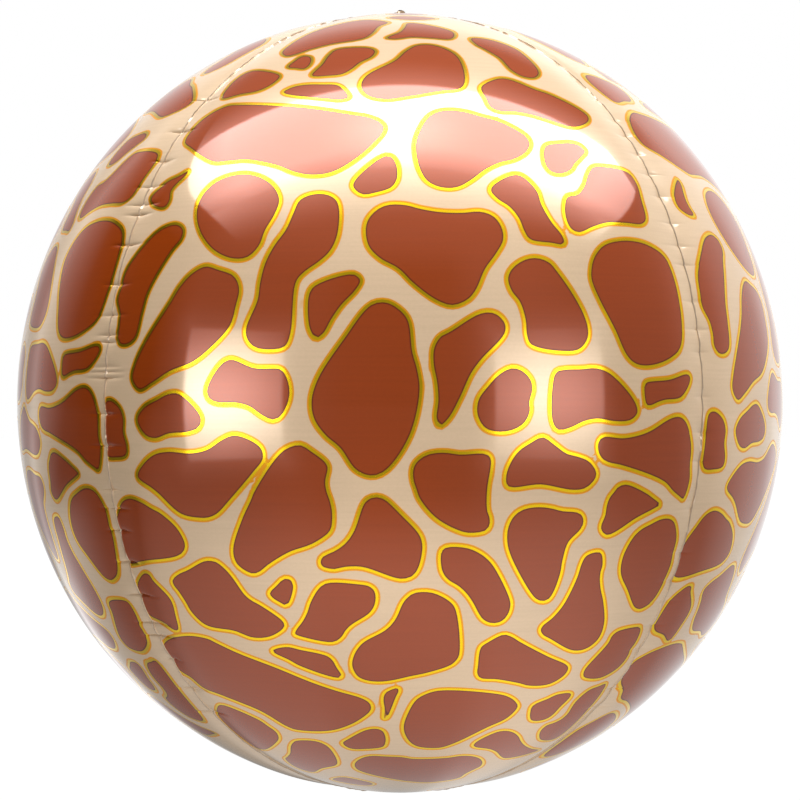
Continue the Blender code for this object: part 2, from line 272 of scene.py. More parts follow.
    "low left leaf": ((219.5, 705), (256.2, 718.4), (267.3, 725.6), (275, 731.2), (277.8, 736.2), (277.3, 739.5),
        (267.3, 748.2), (262, 750), (252, 748), (220, 722), (216, 714)),
    "low left pebble": ((290.6, 746.2), (292.3, 742.8), (296.2, 740.3), (314, 740.6), (322.8, 743.4), (329.5, 748.4),
        (336.4, 760.6), (335, 764.5), (320.6, 767.8), (311.7, 771.5), (296.2, 767.3), (285, 758.4), (287.3, 756.2),
        (290, 752.8)),
    "low drop": ((342.8, 742.3), (348.4, 738.4), (366.2, 729.5), (376.2, 728.4), (381.7, 730.6), (384.5, 736.2),
        (384.5, 741.7), (381.7, 746.2), (364, 748.2), (352.8, 748.2), (346.7, 746.2)),
    "low thorn": ((396.7, 687.8), (397.8, 690), (395, 696.2), (386.7, 715.6), (384.5, 717.8), (384.5, 707.3),
        (383.4, 700.6), (384, 695), (386.2, 691.7)),
    "low oval": ((439, 690.2), (422.8, 695), (415, 700.6), (405, 719.5), (403.7, 728.4), (406.2, 736.2),
        (411.7, 742.8), (419.5, 746.2), (438.4, 747), (449.5, 744), (485, 727.3), (506.2, 717.3), (516.7, 706.2),
        (515, 701.7), (509.5, 697.3), (499.5, 694)),
    "low bat": ((473.4, 744.5), (477.3, 740.6), (496.2, 731.7), (504.5, 730.4), (511.7, 731.7), (517.3, 735.6),
        (520, 740.6), (524, 745), (530.6, 748.4), (538.4, 750.6), (532.8, 752.3), (505, 757.5), (500.6, 755.6),
        (496.2, 751.2), (489.5, 748.4), (475, 746.2)),
    "low seed": ((532.8, 705), (547.3, 698.4), (557.3, 694), (569.7, 693), (569.7, 695.6), (558.4, 707.3),
        (552.8, 713.4), (547.3, 717.3), (540.6, 719.7), (532.8, 720), (530.4, 718.4), (530, 711.7)),
    "low right leaf": ((539, 735), (540.6, 730), (546.2, 725), (554, 722.3), (561.7, 718.4), (567.3, 713.4),
        (575.5, 701.2), (589, 689.8), (598.6, 686.4), (605.6, 684.5), (581.7, 717.3), (559.5, 737), (551.7, 740),
        (540.6, 739)),
    "low right cheek": ((481, 646.8), (488.2, 641.7), (503.2, 634.4), (510.4, 636.2), (519.5, 641.7), (547.3, 656.2),
        (565.6, 664.5), (567.3, 667.8), (564, 674), (548.4, 683.4), (528.4, 684.8), (518.4, 682.3), (496.2, 678.4),
        (480.6, 677.3), (477.3, 673.4), (477.8, 665)),
    "foot band": ((354.5, 764.5), (357.3, 760), (364, 756.7), (371.7, 755.4), (385, 756), (400.6, 756.7),
        (412.8, 758.4), (446.2, 757.4), (460.6, 755.4), (470.6, 755.6), (478.4, 757.8), (481.5, 761.7),
        (479.5, 765.6), (471.7, 769.5), (464, 773.4), (457.3, 777.5), (430, 781.5), (413, 781), (359.5, 770)),
    "foot left": ((332.5, 779), (336, 777.2), (345, 776.8), (372, 783), (366, 784.8)),
}

# Where a gore's own outline differs from the shared print: the patch that it leaves out, and what it has there.
OWN_PATCHES_PX = {
    "right": ("edge triangle", ((677.5, 179.5), (680, 184), (682.3, 192), (685, 200), (688.5, 207), (692.8, 214),
                                (689, 214.5), (684, 211.5), (679, 207), (675.8, 201), (674.2, 194), (674.5, 187),
                                (675.8, 181.5))),
}

# Patches on the two tips of a gore, where the photograph shows next to nothing, on the flat sheet.
TIP_PATCHES_MM = {
    "upper cap": ((-6, 249.5), (-1, 245.5), (5, 244), (12, 245.5), (17, 249.5), (12, 253), (4, 255), (-3, 254)),
    "upper cap middle": ((-6, 266), (-2, 262), (6, 262), (11, 265), (10, 271), (3, 274), (-3, 272)),
    "upper cap left": ((-31, 266), (-27, 262.5), (-20, 263), (-15, 267), (-15, 273), (-20, 278), (-25, 276)),
    "upper cap right": ((17, 274), (18, 270), (23, 265), (29, 264), (31, 267), (27, 273), (22, 277)),
    "upper tip left": ((-12, 284), (-8, 280), (-2, 280), (1, 284), (-1, 288), (-7, 289)),
    "upper tip": ((-2, 296), (4, 298.5), (10, 298), (14, 295.5), (11, 292.5), (4, 292.5)),
    "lower cap right": ((15, -262), (21, -257), (29, -256), (32, -260), (27, -267), (19, -269)),
    "lower tip left": ((-22, -272), (-14, -269), (-9, -273), (-12, -279), (-19, -279)),
    "lower tip right": ((4, -288), (11, -286), (14, -289), (9, -293), (4, -292)),
}

# Where the print sits on each gore: its move across and along, and how both change along the gore. The gores are cut
# from the printed film one after another, so no two have the print in quite the same place.
PRINT_PLACE = {
    "front": (0.0, 0.0, 0.0, 0.0),
    "right": (0.0046, -0.0050, -0.030, 0.040),
    "left": (0.0030, 0.0135, 0.0, 0.0),
    "back": (-0.0040, 0.0075, 0.0, 0.0),
}
QUARTER_TURNS = {"right": 0, "back": 1, "left": 2, "front": 3}


def smooth_step(share):
    share = np.clip(share, 0.0, 1.0)
    return share * share * (3 - 2 * share)


def bell(distance, reach):
    return np.exp(-((distance / reach) ** 2))


def crowded_at_ends(count):
    """Shares from -1 to 1 that lie closer together towards both ends."""
    shares = np.linspace(-1, 1, count + 1)
    return 0.6 * shares + 0.4 * (3 * shares - shares**3) / 2


def seam_latitude(row_px):
    """The latitude at which a front seam crosses this row of the photograph."""
    latitudes = np.linspace(-1.5, 1.5, 2001)
    depth = CAMERA_DISTANCE - HALF_WIDTH * np.cos(latitudes) * math.cos(HALF_GORE_ANGLE)
    rows = BALLOON_CENTRE_PX[1] - FOCAL_LENGTH_PX * HALF_HEIGHT * np.sin(latitudes) / depth
    return float(np.interp(-row_px, -rows, latitudes))


def sheet_point(x_px, y_px, gore_turn=0.0):
    """Where this pixel's line of sight meets a gore, on its flat sheet: across from its middle line, and along it
    from the equator. The front gore's turn is zero."""
    eye = np.array([-math.sin(CAMERA_YAW), -math.cos(CAMERA_YAW), 0.0]) * CAMERA_DISTANCE
    forward = np.array([math.sin(CAMERA_YAW), math.cos(CAMERA_YAW), 0.0])
    right = np.array([math.cos(CAMERA_YAW), -math.sin(CAMERA_YAW), 0.0])
    up = np.array([0.0, 0.0, 1.0])
    across = (x_px + 0.5 - BALLOON_CENTRE_PX[0]) / FOCAL_LENGTH_PX
    down = (y_px + 0.5 - BALLOON_CENTRE_PX[1]) / FOCAL_LENGTH_PX
    sight = forward + across * right - down * up
    to_unit_ball = 1 / np.array([HALF_WIDTH, HALF_WIDTH, HALF_HEIGHT])
    start, step = eye * to_unit_ball, sight * to_unit_ball
    a, b, c = step @ step, start @ step, start @ start - 1
    reach = (-b - math.sqrt(b * b - a * c)) / a
    point = eye + reach * sight
    latitude = math.asin(point[2] / HALF_HEIGHT)
    longitude = math.atan2(point[0], -point[1]) - gore_turn
    return HALF_WIDTH * math.cos(latitude) * longitude, SHEET_RADIUS * latitude


def smooth_loop(points, steps=6):
    """A closed centripetal Catmull-Rom curve through the points."""
    points = np.array(points, float)
    count = len(points)
    curve = []
    for here in range(count):
        p = [points[(here + offset) % count] for offset in (-1, 0, 1, 2)]
        t = [0.0]
        for before, after in zip(p, p[1:]):
            t.append(t[-1] + max(np.linalg.norm(after - before), 1e-9) ** 0.5)
        for step in range(steps):
            now = t[1] + (t[2] - t[1]) * step / steps
            first = [p[i] + (p[i + 1] - p[i]) * (now - t[i]) / (t[i + 1] - t[i]) for i in range(3)]
            second = [first[i] + (first[i + 1] - first[i]) * (now - t[i]) / (t[i + 2] - t[i]) for i in range(2)]
            curve.append(second[0] + (second[1] - second[0]) * (now - t[1]) / (t[2] - t[1]))
    return np.array(curve)


def patch_loops():
    """Every printed patch's edge on the flat sheet, in metres, by name."""
    loops = {name: smooth_loop([sheet_point(*point) for point in outline]) for name, outline in PATCHES_PX.items()}
    for name, outline in TIP_PATCHES_MM.items():
        loops[name] = smooth_loop(np.array(outline) * MM)
    return loops


def depth_in_loop(loop, points):
    """How far inside the loop each point lies; outside it the value is negative."""
    nearest = np.full(len(points), 1e9)
    inside = np.zeros(len(points), bool)
    x, y = points[:, 0], points[:, 1]
    for (ax, ay), (bx, by) in zip(loop, np.roll(loop, -1, axis=0)):
        dx, dy = bx - ax, by - ay
        share = np.clip(((x - ax) * dx + (y - ay) * dy) / max(dx * dx + dy * dy, 1e-18), 0, 1)
        nearest = np.minimum(nearest, (x - ax - share * dx) ** 2 + (y - ay - share * dy) ** 2)
        if ay != by:
            crosses = ((ay > y) != (by > y)) & (x < ax + (y - ay) * dx / dy)
            inside ^= crosses
    return np.where(inside, 1, -1) * np.sqrt(nearest)


def placed_loops(side, loops):
    """The patches where they lie on this gore."""
    move_across, move_along, lean, stretch = PRINT_PLACE[side]
    left_out, own_outline = OWN_PATCHES_PX.get(side, (None, None))
    placed = []
    for name, loop in loops.items():
        if name != left_out:
            across = loop[:, 0] + move_across + lean * loop[:, 1]
            placed.append(np.stack([across, loop[:, 1] * (1 + stretch) + move_along], axis=1))
    if own_outline:
        turn = {"right": math.pi / 2, "left": -math.pi / 2}[side]
        placed.append(smooth_loop([sheet_point(x, y, turn) for x, y in own_outline]))
    return placed


def print_depth(loops, sheet_points):
    """How far inside a printed patch each point of the sheet lies, limited to the range that the print needs."""
    depth = np.full(len(sheet_points), -PRINT_RANGE)
    for loop in loops:
        low, high = loop.min(axis=0) - PRINT_RANGE, loop.max(axis=0) + PRINT_RANGE
        near = np.all((sheet_points > low) & (sheet_points < high), axis=1)
        if near.any():
            depth[near] = np.maximum(depth[near], depth_in_loop(loop, sheet_points[near]))
    return np.clip(depth, -PRINT_RANGE, PRINT_RANGE)


def seam_puckers():
    """For each seam, counted from the right-back one: the place of every pucker along it, its depth and reach."""
    chance = random.Random(7)
    heights = {2: [SHEET_RADIUS * seam_latitude(row) for row in LEFT_SEAM_PUCKERS_PX],
               3: [SHEET_RADIUS * seam_latitude(row) for row in RIGHT_SEAM_PUCKERS_PX]}
    for seam in (0, 1):
        heights[seam] = []
        place = SHEET_RADIUS * LOWEST * HIDDEN_PUCKERS_START
        while place < SHEET_RADIUS * CREST_FOOT * HIDDEN_PUCKERS_END:
            heights[seam].append(place + chance.uniform(-1, 1) * HIDDEN_PUCKER_SCATTER)
            place += HIDDEN_PUCKER_PITCH
    return {seam: [(place, PUCKER_STRENGTH[seam] * chance.uniform(*PUCKER_STRENGTH_VARIES),
                    chance.uniform(*CREASE_REACH)) for place in sorted(heights[seam])] for seam in range(4)}


class Wave:
    """A seeded smooth wave along a seam, the same for the two gores that share it."""

    def __init__(self, seed, lengths):
        chance = random.Random(seed)
        self.parts = [(length * chance.uniform(0.8, 1.25), chance.uniform(0, math.tau)) for length in lengths]

    def __call__(self, along):
        return sum(np.sin(math.tau * along / length + start) for length, start in self.parts) / len(self.parts)


LIP_SWAY = [Wave(20 + seam, (0.031, 0.017, 0.009, 0.0053)) for seam in range(4)]
LIP_RISE = [Wave(40 + seam, (0.023, 0.011, 0.0047)) for seam in range(4)]
LIP_SWAY_REACH = 0.00025
LIP_SWAY_FADE_RADIUS = 0.05
LIP_RISE_SHARE = 0.35

# The lip as it shows: the weld stands off the skin far less than the room that the solid gives it, but for the crest.
SHOWN_LIP = 0.0005
SHOWN_LIP_AT_POLES = 0.0009
LIP_GROWS_WITHIN = 0.09
SHOWN_LIP_FOOT = 0.00022
SHOWN_LIP_LEAN = 0.00011


def gore_rows(pucker_places):
    """The rings of a gore from the lower pole up, as radius, height, outward normal and place along the sheet."""
    crease_latitudes = [(place + offset) / SHEET_RADIUS for place in pucker_places for offset in CREASE_ROW_OFFSETS]
    plain = np.linspace(LOWEST, CREST_FOOT, round((CREST_FOOT - LOWEST) * SHEET_RADIUS / ROW_STEP))
    wanted = sorted([(lat, 0) for lat in crease_latitudes if LOWEST < lat < CREST_FOOT] + [(lat, 1) for lat in plain])
    latitudes = []
    for latitude, is_plain in wanted:
        room = CLOSEST_ROWS * (PLAIN_ROWS_NEED if is_plain else 1) / SHEET_RADIUS
        if not latitudes or latitude - latitudes[-1] > room:
            latitudes.append(latitude)
    latitudes[0] = LOWEST
    crest_radii = CREST_BORE + CREST_REACH * (1 - np.arange(1, CREST_ROWS + 1) / CREST_ROWS)
    latitudes = np.concatenate([latitudes, np.arccos(crest_radii / HALF_WIDTH)])
    radius = HALF_WIDTH * np.cos(latitudes)
    height = CENTRE_HEIGHT + HALF_HEIGHT * np.sin(latitudes)
    normal = np.stack([np.cos(latitudes) / HALF_WIDTH, np.sin(latitudes) / HALF_HEIGHT], axis=1)
    normal /= np.linalg.norm(normal, axis=1)[:, None]
    flat_radius = np.linspace(CREST_BORE, REST_FLAT_RADIUS, FLAT_ROWS, endpoint=False)
    flat_place = SHEET_RADIUS * LOWEST - (REST_FLAT_RADIUS - flat_radius)
    return (np.concatenate([flat_radius, radius]),
            np.concatenate([np.zeros(FLAT_ROWS), height]),
            np.concatenate([np.tile((0.0, -1.0), (FLAT_ROWS, 1)), normal]),
            np.concatenate([flat_place, SHEET_RADIUS * latitudes]))


def between_puckers(puckers, place):
    """How far along from one pucker to the next each place lies, and the distance between the two."""
    centres = np.array([centre for centre, strength, reach in puckers])
    index = np.clip(np.searchsorted(centres, place), 1, len(centres) - 1)
    pitch = centres[index] - centres[index - 1]
    return np.clip((place - centres[index - 1]) / pitch, 0, 1), pitch


def pucker_draw(puckers, place, distance, radius):
    """How far one seam's puckers draw the skin in: it swells between two of them and has a sharp crease at each."""
    share, pitch = between_puckers(puckers, place)
    swell = np.sin(math.pi * share) ** SCALLOP_ROUNDNESS
    depth = np.minimum(SCALLOP_DEPTH, SCALLOP_SHARE_OF_PITCH * pitch)
    scallops = depth * (1 - swell) * bell(distance, SCALLOP_REACH)
    creases = np.zeros(np.broadcast(place, distance).shape)
    for centre, strength, reach in puckers:
        away = np.abs(place - centre)
        crease = CREASE_DEPTH * np.exp(-away / CREASE_WIDTH) * np.clip(1 - (distance / reach) ** 2, 0, 1)
        creases = np.maximum(creases, strength * crease)
    return (scallops + creases) * smooth_step(radius / PUCKER_FADE_RADIUS)


def print_jog(puckers, place, distance):
    """How far the print is shifted beside the seam: it jumps at each pucker, because film is hidden in the crease,
    and drifts back up to the next one."""
    share, pitch = between_puckers(puckers, place)
    return JOG * (share - 0.5) * bell(distance, JOG_REACH)


def neck_half_width(along):
    """Half the neck's width at this distance from its root; zero past its end."""
    half = NECK_ROOT_WIDTH / 2 + (NECK_WIDTH - NECK_ROOT_WIDTH) / 2 * smooth_step(along / NECK_TAPER)
    from_end = NECK_LENGTH - along
    rounding = NECK_CORNER - np.sqrt(np.clip(NECK_CORNER**2 - (NECK_CORNER - np.clip(from_end, 0, NECK_CORNER)) ** 2,
                                             0, None))
    return np.where((along < 0) | (from_end < 0), 0.0, half - rounding)


def lift_over_neck(points):
    """The skin lies over the folded neck instead of through it."""
    along = np.clip(points[:, 1] - NECK_START, -0.01, NECK_LENGTH + 0.01)
    edge = NECK_CLEARANCE
    inside_width = neck_half_width(np.clip(along, 0, NECK_LENGTH)) + edge - np.abs(points[:, 0])
    inside_length = np.minimum(points[:, 1] - NECK_START + edge, NECK_START + NECK_LENGTH + edge - points[:, 1])
    drape = smooth_step(0.5 + np.minimum(inside_width, inside_length) / (2 * edge))
    needed = (NECK_THICKNESS + NECK_CLEARANCE) * drape
    lifted = points.copy()
    lifted[:, 2] = np.maximum(points[:, 2], needed)
    return lifted


def new_object(name, points, faces):
    """A mesh object of these points and faces, put into the scene."""
    mesh = bpy.data.meshes.new(name)
    mesh.from_pydata(points, [], faces)
    made = bpy.data.objects.new(name, mesh)
    bpy.context.scene.collection.objects.link(made)
    return made


def grid_quads(grid):
    """The faces between the rows and columns of a grid of point numbers."""
    return np.stack([grid[:-1, :-1], grid[:-1, 1:], grid[1:, 1:], grid[1:, :-1]], axis=2).reshape(-1, 4)


def shade_smooth(mesh, sharp_edge):
    mesh.polygons.foreach_set("use_smooth", [True] * len(mesh.polygons))
    mesh.set_sharp_from_angle(angle=sharp_edge)


def add_value(mesh, name, values):
    attribute = mesh.attributes.new(name, "FLOAT", "POINT")
    attribute.data.foreach_set("value", np.asarray(values, np.float32))


def build_gore(side, loops, puckers):
    """One gore as a closed wedge: its printed skin, the sealing lips along both edges, and the faces to the axis."""
    turns = QUARTER_TURNS[side]
    seams = ((turns - 1) % 4, turns)
    radius, height, normal, place = gore_rows([p[0] for seam in seams for p in puckers[seam]])
    rows = len(radius)
    foot = np.minimum(SHOWN_LIP_FOOT / radius, HALF_GORE_ANGLE / 3)[:, None]
    skin_angle = crowded_at_ends(COLUMNS)[None, :] * (HALF_GORE_ANGLE - foot)
    from_low = radius[:, None] * (HALF_GORE_ANGLE + skin_angle)
    from_high = radius[:, None] * (HALF_GORE_ANGLE - skin_angle)
    column_place = place[:, None]

    def drawn_in(distance, seam):
        return VALLEY_DEPTH * bell(distance, VALLEY_REACH) + pucker_draw(puckers[seam], column_place, distance,
                                                                         radius[:, None])

    drawn = np.maximum(drawn_in(from_low, seams[0]), drawn_in(from_high, seams[1]))
    drawn = np.minimum(drawn, PRESSED_VALLEY_SHARE * height[:, None])

    upper = height > CENTRE_HEIGHT
    crest = smooth_step(1 - (radius - CREST_BORE) / CREST_REACH)
    shown = SHOWN_LIP + (SHOWN_LIP_AT_POLES - SHOWN_LIP) * smooth_step(1 - radius / LIP_GROWS_WITHIN)
    lip = np.where(upper, shown + (CREST_HEIGHT - shown) * crest, np.minimum(shown, PRESSED_LIP_SHARE * height))
    at_seam = np.zeros((rows, 1))
    angles, outs = [], []
    for edge, seam in ((-1, seams[0]), (1, seams[1])):
        seam_draw = np.minimum(drawn_in(at_seam, seam), PRESSED_VALLEY_SHARE * height[:, None])
        rise = 1 + LIP_RISE_SHARE * LIP_RISE[seam](place)[:, None]
        sway = LIP_SWAY_REACH * LIP_SWAY[seam](place)[:, None] * smooth_step(radius / LIP_SWAY_FADE_RADIUS)[:, None]
        top = np.minimum(lip[:, None] * rise, PRESSED_LIP_SHARE * height[:, None] + LIP_HEIGHT * upper[:, None])
        swayed = edge * HALF_GORE_ANGLE + (sway + edge * SHOWN_LIP_LEAN) / radius[:, None]
        pair_angles = [swayed, swayed - edge * foot / 2]
        pair_outs = [top - seam_draw, top - seam_draw]
        if edge > 0:
            pair_angles.reverse()
        angles.append(np.hstack(pair_angles))
        outs.append(np.hstack(pair_outs))
    angle = np.hstack([angles[0], skin_angle, angles[1]])
    out = np.hstack([outs[0], -drawn, outs[1]])
    reach = radius[:, None] + out * normal[:, :1]
    ring = np.stack([reach * np.cos(angle), reach * np.sin(angle), height[:, None] + out * normal[:, 1:]], axis=2)
    axis = np.zeros((rows, 1, 3))
    axis[:, 0, 2] = height
    points = np.concatenate([axis, ring], axis=1)
    around = points.shape[1]
    points = points.reshape(-1, 3)

    turn = turns * 2 * HALF_GORE_ANGLE
    move_out = SEAM_GAP / 2 / math.sin(HALF_GORE_ANGLE)
    cosine, sine = math.cos(turn), math.sin(turn)
    x, y = points[:, 0] + move_out, points[:, 1]
    points = np.stack([x * cosine - y * sine, x * sine + y * cosine, points[:, 2]], axis=1)
    if side != "front":
        points = lift_over_neck(points)

    across = radius[:, None] * np.clip(angle, -HALF_GORE_ANGLE, HALF_GORE_ANGLE)
    seam_distance = radius[:, None] * np.maximum(HALF_GORE_ANGLE - np.abs(angle), 0)
    jog = sum(print_jog(puckers[seam], column_place, radius[:, None] * np.maximum(HALF_GORE_ANGLE - edge * angle, 0))
              for edge, seam in ((-1, seams[0]), (1, seams[1])))
    along = np.broadcast_to(column_place, across.shape) + jog
    depth = print_depth(placed_loops(side, loops), np.stack([across.ravel(), along.ravel()], axis=1))
    depth = depth.reshape(rows, -1)
    depth[:, :2] = depth[:, -2:] = -PRINT_RANGE
    depth = np.hstack([np.full((rows, 1), -PRINT_RANGE), depth]).ravel()
    distance = np.hstack([np.zeros((rows, 1)), seam_distance]).ravel()

    index = np.arange(rows * around).reshape(rows, around)
    faces = [tuple(quad) for quad in grid_quads(np.hstack([index, index[:, :1]])).tolist()]
    faces.append(tuple(reversed(index[0].tolist())))
    faces.append(tuple(index[-1].tolist()))

    gore = new_object(side + "_foil", points.tolist(), faces)
    mesh = gore.data
    add_value(mesh, "print_depth", depth / MM)
    add_value(mesh, "seam_distance", distance / MM)
    add_gore_uv(mesh, rows, around, place)
    shade_smooth(mesh, SHARP_GORE_EDGE)
    mesh.update()
    return gore


def add_gore_uv(mesh, rows, around, place):
    """The sheet fills the square, one side of the wedge takes a narrow strip at each edge of it."""
    across = np.concatenate([[0.0, 0.010, 0.014], np.linspace(0.018, 0.982, around - 5), [0.986, 0.990]])
    along = (place - place[0]) / (place[-1] - place[0])
    loop_vertices = np.zeros(len(mesh.loops), np.int32)
    mesh.loops.foreach_get("vertex_index", loop_vertices)
    column, row = loop_vertices % around, loop_vertices // around
    u = across[column]
    counts = np.zeros(len(mesh.polygons), np.int32)
    mesh.polygons.foreach_get("loop_total", counts)
    face_of_loop = np.repeat(np.arange(len(counts)), counts)
    is_quad = counts[face_of_loop] == 4
    last_side = (face_of_loop % around) == around - 1
    u = np.where(is_quad & last_side & (column == 0), 1.0, u)
    layer = mesh.uv_layers.new(name="OFBake")
    layer.data.foreach_set("uv", np.stack([u, along[row]], axis=1).astype(np.float32).ravel())


# The neck as it shows: its mesh, its welded sides, and the puff between its two layers of film.
NECK_COLUMNS, NECK_ROWS = 28, 90
NECK_LEAST_HALF_WIDTH = 0.002
NECK_WELD, NECK_WELD_FADE = 0.0016, 0.002
NECK_ROOT_FADE = 0.004
NECK_FILM, NECK_PUFF = 0.00035, 0.00040
NECK_RIPPLE = Wave(91, (0.019, 0.008, 0.0041))
SHARP_NECK_EDGE = math.radians(50)


def build_neck():
    """The filling neck: two layers of film, welded along both sides and open at the end, lying flat."""
    along = np.linspace(0, NECK_LENGTH, NECK_ROWS + 1)
    half = np.maximum(neck_half_width(along), NECK_LEAST_HALF_WIDTH)
    shares = np.linspace(-1, 1, NECK_COLUMNS + 1)

    def surface(is_top):
        x = shares[None, :] * half[:, None]
        y = np.broadcast_to((NECK_START + along)[:, None], x.shape)
        from_edge = half[:, None] - np.abs(x)
        puff = smooth_step((from_edge - NECK_WELD) / NECK_WELD_FADE) * smooth_step(along / NECK_ROOT_FADE)[:, None]
        film = NECK_FILM + NECK_PUFF * puff * (0.8 + 0.2 * NECK_RIPPLE(y + 0.3 * x))
        z = film if is_top else np.zeros_like(x)
        return np.stack([x, y, z], axis=2).reshape(-1, 3)

    points = np.concatenate([surface(True), surface(False)])
    index = np.arange((NECK_ROWS + 1) * (NECK_COLUMNS + 1)).reshape(NECK_ROWS + 1, NECK_COLUMNS + 1)
    under = index + index.size
    faces = []
    for grid, flip in ((index, False), (under, True)):
        faces += [tuple(quad[::-1]) if flip else tuple(quad) for quad in grid_quads(grid).tolist()]
    rim = np.concatenate([index[0, :], index[1:, -1], index[-1, -2::-1], index[-2:0:-1, 0]])
    rim_under = rim + index.size
    for here in range(len(rim)):
        after = (here + 1) % len(rim)
        faces.append((int(rim[after]), int(rim[here]), int(rim_under[here]), int(rim_under[after])))
    neck = new_object("neck_film", points.tolist(), faces)
    half_width = np.maximum(neck_half_width(points[:, 1] - NECK_START), NECK_LEAST_HALF_WIDTH)
    add_value(neck.data, "weld", (half_width - np.abs(points[:, 0])) / MM)
    shade_smooth(neck.data, SHARP_NECK_EDGE)
    return neck


class Nodes:
    """Short calls for building a node tree."""

    def __init__(self, tree):
        self.tree = tree

    def add(self, kind, **settings):
        node = self.tree.nodes.new(kind)
        for name, value in settings.items():
            setattr(node, name, value)
        return node

    def link(self, output, target):
        self.tree.links.new(output, target)

    def attribute(self, name):
        return self.add("ShaderNodeAttribute", attribute_name=name).outputs["Fac"]

    def math(self, operation, first, second=None, clamp=False):
        node = self.add("ShaderNodeMath", operation=operation, use_clamp=clamp)
        for socket, value in zip(node.inputs, (first, second)):
            if value is None:
                continue
            if isinstance(value, (int, float)):
                socket.default_value = value
            else:
                self.link(value, socket)
        return node.outputs[0]

    def spread(self, value, low, high, to_low=0.0, to_high=1.0):
        node = self.add("ShaderNodeMapRange", clamp=True)
        self.link(value, node.inputs["Value"])
        for name, number in (("From Min", low), ("From Max", high), ("To Min", to_low), ("To Max", to_high)):
            node.inputs[name].default_value = number
        return node.outputs["Result"]

    def ramp(self, value, stops, kind="LINEAR"):
        node = self.add("ShaderNodeValToRGB")
        node.color_ramp.interpolation = kind
        elements = node.color_ramp.elements
        while len(elements) > 1:
            elements.remove(elements[-1])
        elements[0].position, elements[0].color = stops[0][0], stops[0][1]
        for position, colour in stops[1:]:
            elements.new(position).color = colour
        self.link(value, node.inputs["Fac"])
        return node.outputs["Color"]

    def noise(self, vector, scale, detail=3.0, roughness=0.5):
        node = self.add("ShaderNodeTexNoise")
        node.inputs["Scale"].default_value = scale
        node.inputs["Detail"].default_value = detail
        node.inputs["Roughness"].default_value = roughness
        self.link(vector, node.inputs["Vector"])
        return node.outputs["Fac"]

    def waver(self, noise, low, high):
        """A noise, which seldom leaves the middle of its range, spread between two values."""
        return self.spread(noise, 0.3, 0.7, low, high)

    def times(self, first, *others):
        for value in others:
            first = self.math("MULTIPLY", first, value)
        return first

    def plus(self, first, *others):
        for value in others:
            first = self.math("ADD", first, value)
        return first

    def minus(self, first, second):
        return self.math("SUBTRACT", first, second)

    def square(self, value):
        return self.times(value, value)

    def bell(self, values, middle, spread):
        """A bell curve over two values, one at its middle."""
        away = [self.square(self.math("DIVIDE", self.minus(value, centre), width))
                for value, centre, width in zip(values, middle, spread)]
        return self.math("EXPONENT", self.times(self.plus(*away), -1.0))

    def stretched(self, vector, scale):
        node = self.add("ShaderNodeMapping")
        node.inputs["Scale"].default_value = scale
        self.link(vector, node.inputs["Vector"])
        return node.outputs["Vector"]

    def bump(self, height, strength, distance, shader):
        node = self.add("ShaderNodeBump")
        node.inputs["Strength"].default_value = strength
        node.inputs["Distance"].default_value = distance
        self.link(height, node.inputs["Height"])
        self.link(node.outputs["Normal"], shader.inputs["Normal"])

    def mix(self, share, first, second, kind="MIX"):
        node = self.add("ShaderNodeMix", data_type="RGBA", blend_type=kind)
        for socket, value in ((node.inputs[0], share), (node.inputs[6], first), (node.inputs[7], second)):
            if isinstance(value, (int, float, tuple)):
                socket.default_value = value
            else:
                self.link(value, socket)
        return node.outputs[2]


def linear(red, green, blue):
    """A colour read as 0 to 255 screen values, as the linear values that a shader takes."""
    def channel(value):
        value /= 255
        return value / 12.92 if value <= 0.04045 else ((value + 0.055) / 1.055) ** 2.4
    return channel(red), channel(green), channel(blue), 1.0


# The inks on the foil as linear values. The film over them adds its own white reflections.
CREAM_INK = (0.74, 0.535, 0.345, 1.0)
ORANGE_INK = (0.86, 0.34, 0.01, 1.0)
YELLOW_INK = (1.0, 0.66, 0.0, 1.0)
BURNT_INK = (0.50, 0.20, 0.01, 1.0)
RIM_INK = (0.13, 0.012, 0.004, 1.0)
BROWN_INK = (0.32, 0.046, 0.001, 1.0)
WELD_INK = (0.52, 0.39, 0.27, 1.0)


def new_material(name):
    material = bpy.data.materials.new(name)
    material.use_nodes = True
    tree = material.node_tree
    return material, Nodes(tree), tree.nodes["Principled BSDF"]


def grey(value):
    return value, value, value, 1.0


def print_stops(pairs):
    """Stops along the print's depth, given in metres, as places on the ramp."""
    return [((depth + PRINT_RANGE) / (2 * PRINT_RANGE), colour) for depth, colour in pairs]


